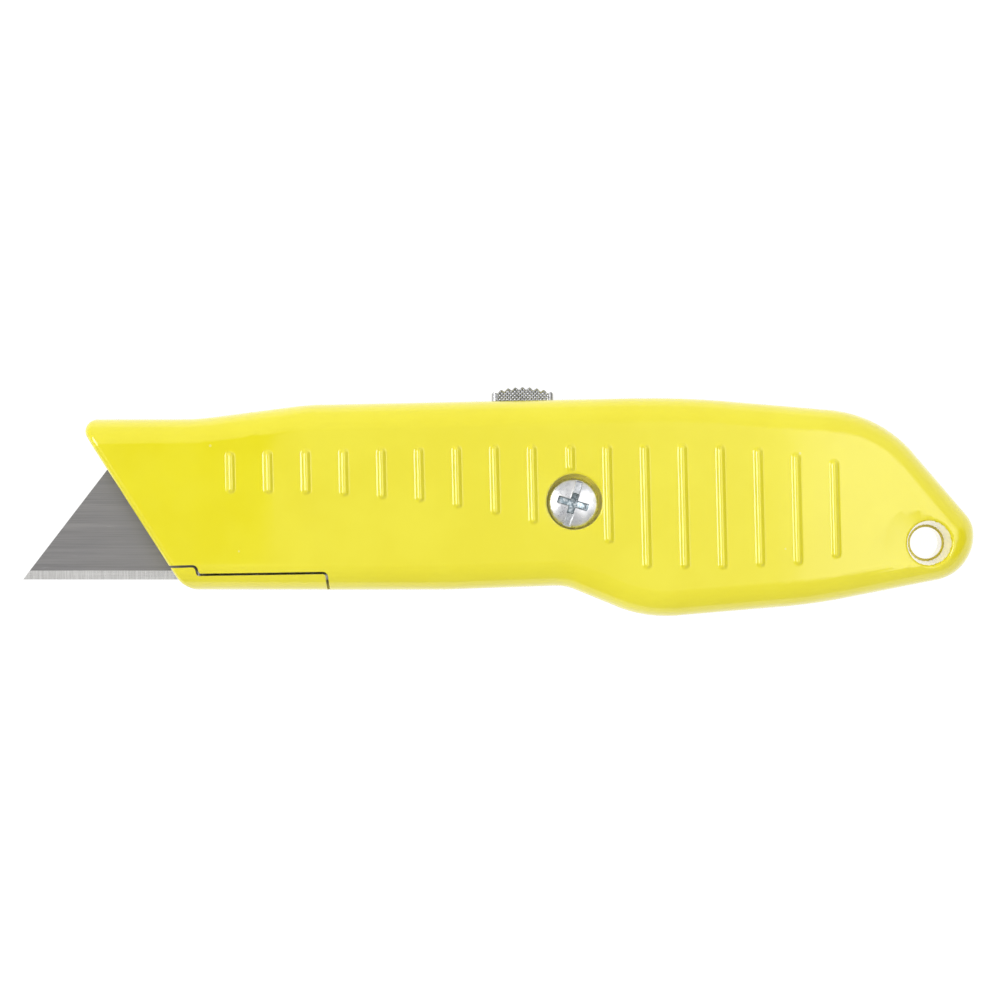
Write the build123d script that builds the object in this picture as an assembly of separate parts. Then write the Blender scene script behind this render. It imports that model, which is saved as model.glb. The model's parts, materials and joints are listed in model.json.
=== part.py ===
from build123d import *
import os
from math import atan, cos, radians, sin, sqrt, tan

# A retractable utility knife with a two-part cast handle, lying on its back half.
# Millimetres. The handle's length runs along X with the blade at -X, its height runs
# along Y with the thumb button at +Y, and its thickness runs along Z. The parts are drawn
# about the clamp screw's axis with the joint between the two halves at z = 0, and every
# finished part is then moved so that the origin is the middle of the knife's footprint.

# ---- handle ----
HALF = 9.0  # thickness of one half without its ribs
EDGE_R = 4.5  # rounding of the handle's long edges
WALL = 2.0  # side wall of the casting
FACE_WALL = 1.8  # wall behind the ribbed faces
NOSE_BREAK = -48.0  # the faces start to slope to the nose here
TAIL_BREAK = 40.0  # and to the tail here
NOSE_SLOPE = 0.11
TAIL_SLOPE = 0.10
CROWN_R = 120.0  # blends the sloping faces into the level ones
BLANK_END = -86.0  # the casting blank before the nose is cut slanting
TAIL_END = 66.95

# corners of the side outline, each with the radius that rounds it
OUTLINE = [
    (BLANK_END, 14.1, 0.0),
    (-62.5, 14.1, 40.0),
    (-44.0, 16.45, 40.0),
    (18.0, 17.7, 150.0),
    (51.2, 14.9, 21.0),
    (TAIL_END, -3.3, 4.8),
    (TAIL_END, -11.6, 7.6),
    (40.0, -16.8, 100.0),
    (12.0, -19.15, 22.0),
    (-1.2, -13.7, 8.0),
    (-22.0, -14.4, 100.0),
    (BLANK_END, -14.4, 0.0),
]
# what the slanting nose keeps of the blank
NOSE_KEEP = [
    (-82.95, 14.1, 2.0),
    (-74.0, 14.1, 0.0),
    (-74.0, 40.0, 0.0),
    (90.0, 40.0, 0.0),
    (90.0, -40.0, 0.0),
    (-58.0, -40.0, 0.0),
    (-58.0, -14.4, 0.0),
    (-64.5, -14.4, 4.5),
]
NOSE_EDGE_R = 1.2

# ---- ribs on both faces ----
RIB_COUNT = 17
RIB_FIRST_X = -56.68
RIB_PITCH = 6.248
RIB_W = 1.2  # body of a rib, without the cast fillets along its foot
RIB_H = 0.45
RIB_FILLET = 0.4  # width of those fillets, which the tops and feet below take in
RIB_LEAN = 1.4  # the ribs lean towards the tail at their feet, degrees
RIB_TOPS = [8.8, 9.0, 9.2, 9.3, 9.5, 9.6, 9.8, 10.0, 9.9, 10.0, 10.0, 10.0, 10.1, 9.9, 9.5, 8.6, 7.5]
RIB_FEET = [1.4, 1.3, 1.2, 0.9, 0.4, -0.1, -1.1, -2.2, -3.7, -5.1, -6.9]
RIB_FEET += [-11.1, -11.1, -11.2, -10.8, -10.5, -9.3]

# ---- blade ----
BLADE_L = 61.0
BLADE_H = 18.7
BLADE_T = 0.6
BLADE_TIP_X = -92.0
BLADE_EDGE_Y = -12.75
BLADE_RUN = 14.35  # how far each slanting end leans in over the blade's height
BEVEL_H = 1.5
NOTCH_W = 3.2
NOTCH_D = 3.0
NOTCH_SPACING = 12.7
SLOT_GAP = 0.1  # running clearance on each side of the blade
TRAVEL = 30.0

# ---- carrier ----
SEAT_BOTTOM = -2.65
SEAT_TOP = -BLADE_T / 2
ARM_HALF = 2.65
ARM_Y = (6.2, 12.3)
ARM_X = (-45.0, 6.0)

# ---- thumb button ----
BUTTON_X = -8.36
BUTTON_L = 10.3
BUTTON_W = 7.0
BUTTON_TOP_Y = 19.4
BUTTON_FOOT_Y = 15.9
BUTTON_DOME_R = 14.0
BUTTON_PRESS = 1.3
TOOTH_COUNT = 9
TOOTH_PITCH = 1.2
TOOTH_D = 0.45
TRACK_FLOOR_Y = 14.3
TRACK_UNDER_Y = 12.6
STEM_L = 6.0
STEM_W = 2.0
STEM_FOOT_Y = 9.0
PIN_R = 0.6
PIN_Y = 10.4

# ---- detent leaf ----
LEAF_NOSE_X = -2.0
LEAF_W = 3.7
LEAF_T = 0.4
LEAF_Y = 11.7
DETENT_STOPS = (0.0, TRAVEL / 2, TRAVEL)

# ---- clamp screw ----
HEAD_R = 4.15
SINK_R = 4.6
SINK_OFFSET = (0.20, 0.26)  # the cast counterbore is not quite central on the screw
SINK_FLOOR = 6.45
BOSS_R = 4.2
SINK_BOSS_R = 6.2
SHANK_R = 2.0
SCREW_TURN = -16.6  # how far the driver slot is turned from square, degrees
RETAINER_R = 3.2

# ---- lanyard hole ----
HOLE_X = 59.2
HOLE_Y = -6.6
HOLE_R = 2.65
HOLE_FLARE = (2.87, 3.79)  # the cover's tapered mouth, at the joint and 7 mm up
HOLE_WALL = 6.5  # length of the straight bore in the back half
DISH_R = 32.0  # shallow dish round the hole in the cover
DISH_D = 0.35

# ---- room inside the handle ----
BAY_START_X = -62.6  # front end of the room for the blade and its carrier
BAY_END_X = 5.6  # back end of it in the cover, and start of the hollow behind the screw
BAY_FLOOR_Y = -12.4
ARM_END_X = 37.0  # how far back the carrier's arm needs room
SPARE_ROOM_X = (-60.3, 3.0)
SPARE_ROOM_TOP_Y = 10.4
SPARE_ROOM_FLOOR = -6.12
PAD_X = (-18.36, 38.0)  # solid metal left under the button's track
HOLE_POST_R = 4.9
PIN_POST_R = 2.4
GUIDE_Y = ((8.7, 9.9), (-6.6, -5.4))  # two ribs inside the cover that keep the carrier down
GUIDE_GAP = 0.25
ARM_GAP = 0.3

# ---- locating pins ----
PIN_SPOTS = [(-71.0, 10.2), (45.0, 8.6)]
DOWEL_R = 1.0

# ---- spare blades ----
SPARE_COUNT = 5
SPARE_PITCH = 0.62
SPARE_X = -59.0
SPARE_EDGE_Y = -10.6
SPARE_TOP = -2.97

LIFT = HALF + RIB_H
FOOTPRINT = Vector((BLADE_TIP_X + TAIL_END) / 2, (BUTTON_TOP_Y - 18.78) / 2, 0)


def box(x0, x1, y0, y1, z0, z1):
    """A block between three pairs of limits."""
    return Pos((x0 + x1) / 2, (y0 + y1) / 2, (z0 + z1) / 2) * Box(x1 - x0, y1 - y0, z1 - z0)


def post(x, y, radius, z0, z1):
    """A round post along Z."""
    return Pos(x, y, (z0 + z1) / 2) * Cylinder(radius, z1 - z0)


def rounded_face(corners):
    """A closed face with straight sides and a rounding at each listed corner."""
    points = [(x, y) for x, y, radius in corners]
    radii = [radius for x, y, radius in corners]
    return make_face(FilletPolyline(*points, radius=radii, close=True))


def slab(face, z0, z1):
    """A flat face drawn at z = 0 made into a plate between two heights."""
    return Pos(0, 0, z0) * extrude(face, amount=z1 - z0)


def crown_height(x):
    """Height of the handle's face over the joint plane at a place along its length."""
    slope, distance = TAIL_SLOPE, x - TAIL_BREAK
    if x < (NOSE_BREAK + TAIL_BREAK) / 2:
        slope, distance = NOSE_SLOPE, NOSE_BREAK - x
    lean = atan(slope)
    start = distance + CROWN_R * tan(lean / 2)
    if start <= 0:
        return HALF
    if start < CROWN_R * sin(lean):
        return HALF - CROWN_R + sqrt(CROWN_R**2 - start**2)
    return HALF - slope * distance


# ---------------------------------------------------------------- handle


def crown_block(half):
    """A bar as long as the handle whose faces slope down to the nose and the tail."""
    nose_x = BLANK_END - 4
    tail_x = TAIL_END + 13
    nose_half = half - (NOSE_BREAK - nose_x) * NOSE_SLOPE
    tail_half = half - (tail_x - TAIL_BREAK) * TAIL_SLOPE
    profile = [
        (nose_x, nose_half, 0),
        (NOSE_BREAK, half, CROWN_R),
        (TAIL_BREAK, half, CROWN_R),
        (tail_x, tail_half, 0),
        (tail_x, -tail_half, 0),
        (TAIL_BREAK, -half, CROWN_R),
        (NOSE_BREAK, -half, CROWN_R),
        (nose_x, -nose_half, 0),
    ]
    return extrude(Plane.XZ * rounded_face(profile), amount=40, both=True)


def handle_blank():
    """Both halves as one block with its long edges rounded and its nose cut slanting."""
    outline = rounded_face(OUTLINE)
    block = extrude(outline, amount=20, both=True) & crown_block(HALF)
    rim_line = outline.face().outer_wire()
    rim = []
    for edge in block.edges():
        middle = edge @ 0.5
        on_face = abs(middle.Z) > 1 and middle.X > BLANK_END + 0.5
        if on_face and rim_line.distance_to(Vertex(middle.X, middle.Y, 0)) < 0.01:
            rim.append(edge)
    block = fillet(rim, radius=EDGE_R)
    block = block & slab(rounded_face(NOSE_KEEP), -20, 20)
    return fillet(slanted_edges(block), radius=NOSE_EDGE_R)


def slanted_edges(block):
    """The long edges of the slanting end that the blade comes out of."""
    top, foot = NOSE_KEEP[0], NOSE_KEEP[-1]
    along = Vector(foot[0] - top[0], foot[1] - top[1], 0).normalized()
    found = []
    for face in block.faces().filter_by(GeomType.PLANE):
        if abs(face.normal_at().dot(along)) < 0.001 and abs(face.normal_at().Z) < 0.001:
            found += [edge for edge in face.edges() if abs((edge @ 0.5).Z) > 1]
    return found


def hollow(depth_wall):
    """The space inside the handle's walls, with the same slopes as its faces."""
    inside = offset(rounded_face(OUTLINE), amount=-WALL, kind=Kind.INTERSECTION)
    return extrude(inside, amount=20, both=True) & crown_block(HALF - depth_wall)


def lip_face(grow):
    """The blade lip that the back half wraps round the nose's lower edge."""
    corners = [
        (-72.0, -10.9 + grow, 0.0),
        (-62.8 + grow, -10.6 + grow, 0.5 + grow),
        (-62.4 + grow, -12.05 + grow, 0.5),
        (-41.05 + grow, -11.7 + grow, 0.5 + grow),
        (-40.6 + grow, -16.0, 0.0),
        (-72.0, -16.0, 0.0),
    ]
    return rounded_face(corners)


def rib(x, foot, top, side):
    """One raised rib: a round bar with round ends, sunk into the face."""
    radius = (RIB_W**2 / 4 + RIB_H**2) / (2 * RIB_H)
    shoulder = radius * sin(radians(45))
    middle = (foot + top) / 2
    high = (top - foot) / 2 - RIB_FILLET - RIB_W / 2
    low = -high
    half_outline = [
        Line((0, low - radius), (0, high + radius)),
        ThreePointArc((0, high + radius), (shoulder, high + shoulder), (radius, high)),
        Line((radius, high), (radius, low)),
        ThreePointArc((radius, low), (shoulder, low - shoulder), (0, low - radius)),
    ]
    bar = revolve(make_face(half_outline), Axis.Y)
    face = side * crown_height(x)
    bar = Pos(x, middle, face + side * (RIB_H - radius)) * Rot(0, 0, RIB_LEAN) * bar
    return bar & box(x - 2, x + 2, foot - 3, top + 3, face - 0.8, face + 0.8)


def ribs(side):
    """Raised ribs across one face, side +1 for the front and -1 for the back."""
    bars = []
    for number in range(RIB_COUNT):
        x = RIB_FIRST_X + number * RIB_PITCH
        bars.append(rib(x, RIB_FEET[number], RIB_TOPS[number], side))
    return bars


def stem_slot():
    """The slot under the button that its stem runs along."""
    return box(BUTTON_X - STEM_L / 2 - 0.4, 26.6, 12.0, 15.0, -STEM_W / 2 - 0.2, STEM_W / 2 + 0.2)


def button_track():
    """The recess along the top edge that the button runs in."""
    half = BUTTON_W / 2 + 0.3
    start = BUTTON_X - BUTTON_L / 2 - 0.6
    finish = BUTTON_X + BUTTON_L / 2 + TRAVEL + 0.6
    return box(start, finish, TRACK_FLOOR_Y, 20, -half, half)


def detent_notches():
    """Half-round notches across the stem slot, one for each blade position."""
    half = LEAF_W / 2 + 0.25
    notches = []
    for stop in DETENT_STOPS:
        notches.append(post(LEAF_NOSE_X + stop, TRACK_UNDER_Y - 0.1, 1.05, -half, half))
    return notches


def blade_slot():
    """The thin slot that the blade slides out through."""
    half = BLADE_T / 2 + SLOT_GAP
    return box(-100, 1.5, BLADE_EDGE_Y - 0.35, BLADE_EDGE_Y + BLADE_H + 0.35, -half, half)


def cast_common(blank, side):
    """One half of the blank with what both halves have: hollow, bosses, slots and ribs."""
    half_space = box(-100, 90, -40, 40, 0, 30) if side > 0 else box(-100, 90, -40, 40, -30, 0)
    shell = blank & half_space
    space = hollow(FACE_WALL) & half_space
    rear_bay = space & box(BAY_END_X - 0.1, 70, -30, 30, -20, 20)
    solid_posts = [
        post(0, 0, BOSS_R, -20, 20),
        post(HOLE_X, HOLE_Y, HOLE_POST_R, -20, 20),
        post(PIN_SPOTS[1][0], PIN_SPOTS[1][1], PIN_POST_R, -20, 20),
        box(PAD_X[0], PAD_X[1], TRACK_UNDER_Y, 30, -20, 20),
    ]
    rear_bay = rear_bay - solid_posts
    shell = shell - rear_bay
    boss = post(0, 0, BOSS_R, -20, 20)
    if side < 0:
        channel = box(BAY_START_X, ARM_END_X, BAY_FLOOR_Y, TRACK_UNDER_Y, SEAT_BOTTOM - 0.2, 0)
        spares = box(
            SPARE_ROOM_X[0], SPARE_ROOM_X[1], SPARE_EDGE_Y - 0.3, SPARE_ROOM_TOP_Y,
            SPARE_ROOM_FLOOR, SEAT_BOTTOM
        )
        shell = shell - (channel - boss) - (spares - boss)
    else:
        front_bay = box(BAY_START_X, BAY_END_X, BAY_FLOOR_Y, TRACK_UNDER_Y, 0, 20) & space
        arm_way = box(BAY_START_X, ARM_END_X, ARM_Y[0] - 0.4, TRACK_UNDER_Y, 0, ARM_HALF + ARM_GAP)
        lip_wall = box(-70, -39.8, -20, -9.7, 0, 20)
        shell = shell - (front_bay - boss - lip_wall) - (arm_way - boss)
    return shell - blade_slot() - button_track() - stem_slot() - detent_notches()


def back_half(blank):
    """The half that the blade, the screw and the spare blades sit in."""
    shell = cast_common(blank, -1)
    lip = (blank & slab(lip_face(0), 0, 20)) - blade_slot()
    shell = shell + lip
    shell = shell - post(0, 0, SHANK_R + 0.15, 2.2 - HALF, 1)
    shell = shell - post(HOLE_X, HOLE_Y, HOLE_R, -20, 20)
    shell = shell - post(HOLE_X, HOLE_Y, HOLE_R + 1.0, -20, -HOLE_WALL)
    for x, y in PIN_SPOTS:
        shell = shell - post(x, y, DOWEL_R + 0.02, -4.02, 1)
    return shell + ribs(-1)


def front_half(blank):
    """The lift-off cover with the screw's counterbore."""
    shell = cast_common(blank, 1)
    guide_space = hollow(1.0) & box(-62.0, 36, -12, 12, 0, 20)
    upper_rib = box(-62, 36, GUIDE_Y[0][0], GUIDE_Y[0][1], ARM_HALF + GUIDE_GAP, 20) & guide_space
    lower_rib = box(-62, -3, GUIDE_Y[1][0], GUIDE_Y[1][1], BLADE_T / 2 + GUIDE_GAP, 20) & guide_space
    sink_boss = post(0, 0, SINK_BOSS_R, SINK_FLOOR - 2.0, HALF - 1)
    shell = shell + upper_rib + lower_rib + sink_boss
    shell = shell - slab(lip_face(0.4), -1, 20)
    shell = shell - post(0, 0, SHANK_R + 0.4, -1, 20)
    shell = shell - post(0, 0, RETAINER_R + 0.2, -1, 0.9)
    shell = shell - Pos(HOLE_X, HOLE_Y, DISH_R + crown_height(HOLE_X) - DISH_D) * Sphere(DISH_R)
    mouth = crown_height(HOLE_X) - DISH_D
    shell = shell - Pos(HOLE_X, HOLE_Y, 3.5) * Cone(HOLE_FLARE[0], HOLE_FLARE[1], 7.0)
    shell = shell - post(SINK_OFFSET[0], SINK_OFFSET[1], SINK_R, SINK_FLOOR, 20)
    shell = fillet(round_rims(shell, SINK_OFFSET[0], SINK_OFFSET[1], SINK_R, HALF), radius=0.35)
    shell = fillet(round_rims(shell, HOLE_X, HOLE_Y, HOLE_FLARE[1], mouth), radius=0.45)
    for x, y in PIN_SPOTS:
        shell = shell - post(x, y, DOWEL_R + 0.1, -1, 3.3)
    around_screw = post(SINK_OFFSET[0], SINK_OFFSET[1], SINK_R + 1.4, 5, 20) + box(-2, 2, -9, 0, 5, 20)
    return shell + [bar - around_screw for bar in ribs(1)]


def round_rims(shell, x, y, radius, z):
    """The edges round a hole's mouth."""
    found = []
    for edge in shell.edges():
        middle = edge @ 0.5
        distance = sqrt((middle.X - x) ** 2 + (middle.Y - y) ** 2)
        if abs(distance - radius) < 0.15 and abs(middle.Z - z) < 0.5:
            found.append(edge)
    return found


# ---------------------------------------------------------------- blades


def blade_solid():
    """A trapezoid blade: tip at the origin, edge along +X, middle of its thickness at z = 0."""
    outline = Polyline(
        (0, 0), (BLADE_L, 0), (BLADE_L - BLADE_RUN, BLADE_H), (BLADE_RUN, BLADE_H), close=True
    )
    blade = slab(make_face(outline), -BLADE_T / 2, BLADE_T / 2)
    wedge = Polyline(
        (-1, BLADE_T / 2 + 0.01), (BEVEL_H, BLADE_T / 2 + 0.01), (BEVEL_H, BLADE_T / 2), (0, 0.02),
        (-1, 0.02), close=True
    )
    grind = extrude(Plane.YZ * make_face(wedge), amount=BLADE_L + 2)
    grind = Pos(-1, 0, 0) * grind
    blade = blade - grind - mirror(grind, about=Plane.XY)
    for spot in (-NOTCH_SPACING / 2, NOTCH_SPACING / 2):
        x = BLADE_L / 2 + spot
        blade = blade - box(x - NOTCH_W / 2, x + NOTCH_W / 2, BLADE_H - NOTCH_D + NOTCH_W / 2, 30, -1, 1)
        blade = blade - post(x, BLADE_H - NOTCH_D + NOTCH_W / 2, NOTCH_W / 2, -1, 1)
    return blade


def spare_blade(number):
    """One of the spare blades stacked under the carrier."""
    z = SPARE_TOP - BLADE_T / 2 - number * SPARE_PITCH
    return Pos(SPARE_X, SPARE_EDGE_Y, z) * blade_solid()


def spare_spring():
    """The bowed strip that holds the spare blades against the lower ledge."""
    outer = ThreePointArc((-46.0, 9.95), (-29.0, SPARE_EDGE_Y + BLADE_H + 0.05), (-12.0, 9.95))
    inner = ThreePointArc((-12.0, 10.3), (-29.0, SPARE_EDGE_Y + BLADE_H + 0.4), (-46.0, 10.3))
    sides = [Line((-12.0, 9.95), (-12.0, 10.3)), Line((-46.0, 10.3), (-46.0, 9.95))]
    return slab(make_face([outer, inner] + sides), -5.9, -3.2)


# ---------------------------------------------------------------- carriage


def peg_spot():
    """Where the rear notch of the blade meets the carrier's peg."""
    x = BLADE_TIP_X + (BLADE_L + NOTCH_SPACING) / 2
    return x, BLADE_EDGE_Y + BLADE_H - NOTCH_D + NOTCH_W / 2


def blade_carrier():
    """The slide: a seat under the blade and an arm over the screw boss to the button."""
    seat = slab(
        rounded_face([
            (-62.0, -12.1, 1.0), (-36.0, -12.1, 1.0), (-36.0, 7.0, 0.0),
            (-45.0, ARM_Y[1], 0.0), (-56.0, ARM_Y[1], 2.0), (-62.0, 8.0, 2.0),
        ]),
        SEAT_BOTTOM, SEAT_TOP,
    )
    arm = slab(
        rounded_face([
            (ARM_X[0], ARM_Y[0], 1.0), (ARM_X[1], ARM_Y[0], 1.0),
            (ARM_X[1], ARM_Y[1], 0.6), (ARM_X[0], ARM_Y[1], 1.0),
        ]),
        -ARM_HALF, ARM_HALF,
    )
    left = BUTTON_X - STEM_L / 2 - 0.1
    right = BUTTON_X + STEM_L / 2 + 0.1
    pocket = box(left, right, 7.0, 20, -STEM_W / 2 - 0.1, STEM_W / 2 + 0.1)
    pin_slot = box(
        BUTTON_X - PIN_R - 0.05, BUTTON_X + PIN_R + 0.05, PIN_Y - PIN_R - BUTTON_PRESS - 0.1,
        PIN_Y + PIN_R + 0.05, -10, 10
    )
    leaf_bed = box(right - 0.2, ARM_X[1] + 1, LEAF_Y, 20, -LEAF_W / 2 - 0.1, LEAF_W / 2 + 0.1)
    leaf_room = box(right - 0.2, 1.6, LEAF_Y - 1.5, 20, -LEAF_W / 2 - 0.1, LEAF_W / 2 + 0.1)
    rivet_hole = Pos(4.0, 10.5, 0) * Rot(90, 0, 0) * Cylinder(0.72, 3.2)
    x, y = peg_spot()
    return seat + arm - pocket - pin_slot - leaf_bed - leaf_room - rivet_hole - post(x, y, 0.92, -5, 1)


def blade_peg():
    """The shouldered rivet that stands in the blade's notch."""
    x, y = peg_spot()
    shank = post(x, y, 0.9, SEAT_BOTTOM + 0.05, SEAT_TOP)
    head = post(x, y, NOTCH_W / 2 - 0.1, SEAT_TOP, BLADE_T / 2)
    return shank + head


def detent_leaf():
    """The spring leaf with the half-round nose that drops into the notches."""
    start = BUTTON_X + STEM_L / 2 + 0.2
    strip = box(start, 5.6, LEAF_Y, LEAF_Y + LEAF_T, -LEAF_W / 2, LEAF_W / 2)
    nose = post(LEAF_NOSE_X, LEAF_Y + LEAF_T, 0.95, -LEAF_W / 2, LEAF_W / 2)
    nose = nose - box(-9, 9, 0, LEAF_Y, -9, 9)
    hole = Pos(4.0, LEAF_Y, 0) * Rot(90, 0, 0) * Cylinder(0.75, 4)
    return strip + nose - hole


def leaf_rivet():
    """The rivet that fastens the leaf to the carrier's arm."""
    shank = Pos(4.0, 10.55, 0) * Rot(90, 0, 0) * Cylinder(0.7, 3.1)
    head = Pos(4.0, LEAF_Y + LEAF_T + 0.1, 0) * Rot(90, 0, 0) * Cylinder(1.3, 0.2)
    return shank + head


def button_stem():
    """The flat stem that joins the button to the carrier, with a toe over the leaf's tip."""
    left = BUTTON_X - STEM_L / 2
    right = BUTTON_X + STEM_L / 2
    stem = box(left, right, STEM_FOOT_Y, 17.4, -STEM_W / 2, STEM_W / 2)
    toe = box(right - 0.5, right + 0.9, LEAF_Y + LEAF_T + 0.06, 13.6, -STEM_W / 2, STEM_W / 2)
    hole = post(BUTTON_X, PIN_Y, PIN_R + 0.02, -5, 5)
    return stem + toe - hole


def stem_pin():
    """The cross pin that keeps the stem in the carrier's arm."""
    return post(BUTTON_X, PIN_Y, PIN_R, -ARM_HALF + 0.15, ARM_HALF - 0.15)


def return_spring():
    """The small coil spring under the stem."""
    turns = 3.5
    radius = 0.62
    wire = 0.13
    foot = 7.0 + wire
    height = STEM_FOOT_Y - 7.0 - 2 * wire
    path = Helix(pitch=height / turns, height=height, radius=radius)
    section = Plane(origin=path @ 0, z_dir=path % 0) * Circle(wire)
    coil = sweep(section, path=path)
    return Pos(BUTTON_X, foot, 0) * Rot(-90, 0, 0) * coil


def thumb_button():
    """The domed button with teeth across its top."""
    left = BUTTON_X - BUTTON_L / 2
    block = box(left, left + BUTTON_L, BUTTON_FOOT_Y, 30, -BUTTON_W / 2, BUTTON_W / 2)
    dome = Pos(BUTTON_X, BUTTON_TOP_Y - BUTTON_DOME_R, 0) * Cylinder(BUTTON_DOME_R, 20)
    button = block & dome
    corners = button.edges().filter_by(Axis.Y)
    button = fillet(corners, radius=0.8)
    for number in range(TOOTH_COUNT + 1):
        x = BUTTON_X + (number - TOOTH_COUNT / 2) * TOOTH_PITCH
        y = BUTTON_TOP_Y - BUTTON_DOME_R + sqrt(BUTTON_DOME_R**2 - (x - BUTTON_X) ** 2) - TOOTH_D
        vee = Polyline((x, y), (x + 0.62, y + 0.62), (x - 0.62, y + 0.62), close=True)
        button = button - slab(make_face(vee), -10, 10)
    pocket = box(
        BUTTON_X - STEM_L / 2, BUTTON_X + STEM_L / 2, 10, 17.4, -STEM_W / 2, STEM_W / 2
    )
    return button - pocket


# ---------------------------------------------------------------- screw and pins


def clamp_screw():
    """The screw: domed head with a full-width slot and a cross arm, threaded shank."""
    rise = 0.85
    slot_half = 0.53
    dome_r = (HEAD_R**2 + rise**2) / (2 * rise)
    underside = SINK_FLOOR + 0.05
    rim = underside + 1.3
    dome = Pos(0, 0, rim + rise - dome_r) * Sphere(dome_r)
    head = post(0, 0, HEAD_R, underside, rim + rise) & (dome + post(0, 0, HEAD_R, underside, rim))
    slot = Rot(0, 0, SCREW_TURN) * box(-slot_half, slot_half, -3.85, 3.85, rim + rise - 1.0, 20)
    cross = Rot(0, 0, SCREW_TURN) * box(-2.6, 2.6, -slot_half, slot_half, rim + rise - 1.5, 20)
    head = head - slot - cross
    shank = post(0, 0, SHANK_R - 0.25, 2.8 - HALF, underside)
    neck = post(0, 0, SHANK_R, 1.0, underside)
    groove_end = post(0, 0, SHANK_R, -0.6, 0.0)
    threads = []
    for turn in range(7):
        z = 3.2 - HALF + turn * 0.75
        rise_side = Pos(0, 0, z) * Cone(SHANK_R - 0.25, SHANK_R, 0.3)
        fall_side = Pos(0, 0, z + 0.3) * Cone(SHANK_R, SHANK_R - 0.25, 0.3)
        threads.append(rise_side + fall_side)
    return head + shank + neck + groove_end + threads


def screw_retainer():
    """The split ring in the cover's boss that keeps the screw from falling out."""
    ring = post(0, 0, RETAINER_R, 0.12, 0.82) - post(0, 0, SHANK_R - 0.15, -1, 2)
    return ring - box(0, 5, -0.6, 0.6, -1, 2)


def locating_pins():
    """Two dowels pressed into the back half, standing in the cover's holes."""
    return [post(x, y, DOWEL_R, -4.0, 2.8) for x, y in PIN_SPOTS]


# ---------------------------------------------------------------- output


def placed(shape):
    """The part moved from the screw's axis to the knife's own origin."""
    return Pos(-FOOTPRINT.X, -FOOTPRINT.Y, LIFT) * shape


def build_all():
    """Every named part, in place with the blade out."""
    blank = handle_blank()
    parts = {
        "back_half": back_half(blank),
        "front_cover": front_half(blank),
        "clamp_screw": clamp_screw(),
        "screw_retainer": screw_retainer(),
        "blade": Pos(BLADE_TIP_X, BLADE_EDGE_Y, 0) * blade_solid(),
        "blade_carrier": blade_carrier(),
        "blade_peg": blade_peg(),
        "detent_leaf": detent_leaf(),
        "leaf_rivet": leaf_rivet(),
        "thumb_button": thumb_button(),
        "button_stem": button_stem(),
        "stem_pin": stem_pin(),
        "return_spring": return_spring(),
        "locating_pins": Compound(children=locating_pins()),
        "spare_blade_spring": spare_spring(),
    }
    for number in range(SPARE_COUNT):
        parts["spare_blade_%d" % (number + 1)] = spare_blade(number)
    return parts


os.makedirs("parts", exist_ok=True)
for name, shape in build_all().items():
    export_step(placed(shape), "parts/%s.step" % name)
    print(name, round(shape.volume, 1), "mm3")
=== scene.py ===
"""Looks of a retractable utility knife lying on its back half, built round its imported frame."""

import json
import math

import bmesh
import bpy
import numpy as np
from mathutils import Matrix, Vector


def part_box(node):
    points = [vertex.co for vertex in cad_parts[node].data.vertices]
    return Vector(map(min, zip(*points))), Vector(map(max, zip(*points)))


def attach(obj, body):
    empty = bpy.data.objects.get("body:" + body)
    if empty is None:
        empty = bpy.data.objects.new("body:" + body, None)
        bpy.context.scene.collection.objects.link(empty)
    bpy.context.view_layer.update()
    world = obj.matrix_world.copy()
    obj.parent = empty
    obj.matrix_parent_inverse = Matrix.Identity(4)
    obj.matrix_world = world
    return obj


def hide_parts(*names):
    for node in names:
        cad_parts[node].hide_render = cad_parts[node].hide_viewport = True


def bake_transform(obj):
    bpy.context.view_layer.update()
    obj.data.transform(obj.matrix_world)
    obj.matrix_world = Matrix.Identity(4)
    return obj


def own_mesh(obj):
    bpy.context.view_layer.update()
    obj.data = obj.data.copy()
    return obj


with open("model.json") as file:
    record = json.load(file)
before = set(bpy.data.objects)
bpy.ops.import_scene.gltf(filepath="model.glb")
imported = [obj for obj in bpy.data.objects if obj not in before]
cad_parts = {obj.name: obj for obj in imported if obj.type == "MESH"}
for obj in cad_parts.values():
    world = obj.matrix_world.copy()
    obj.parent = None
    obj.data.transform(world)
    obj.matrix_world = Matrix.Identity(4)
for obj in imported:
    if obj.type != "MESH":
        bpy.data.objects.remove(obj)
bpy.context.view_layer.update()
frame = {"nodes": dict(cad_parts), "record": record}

MM = 0.001

# Sizes are in millimetres about the clamp screw's axis, with z = 0 on the joint between the halves.
SCREW_LOW, SCREW_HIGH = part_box("clamp_screw")
BLADE_LOW, BLADE_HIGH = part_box("blade")
AXIS = np.array([
    (SCREW_LOW[0] + SCREW_HIGH[0]) / 2,
    (SCREW_LOW[1] + SCREW_HIGH[1]) / 2,
    (BLADE_LOW[2] + BLADE_HIGH[2]) / 2,
])

# handle
HALF = 9.0
NOSE_BREAK = -48.0
TAIL_BREAK = 40.0
NOSE_SLOPE = 0.11
TAIL_SLOPE = 0.10
CROWN_R = 120.0

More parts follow.
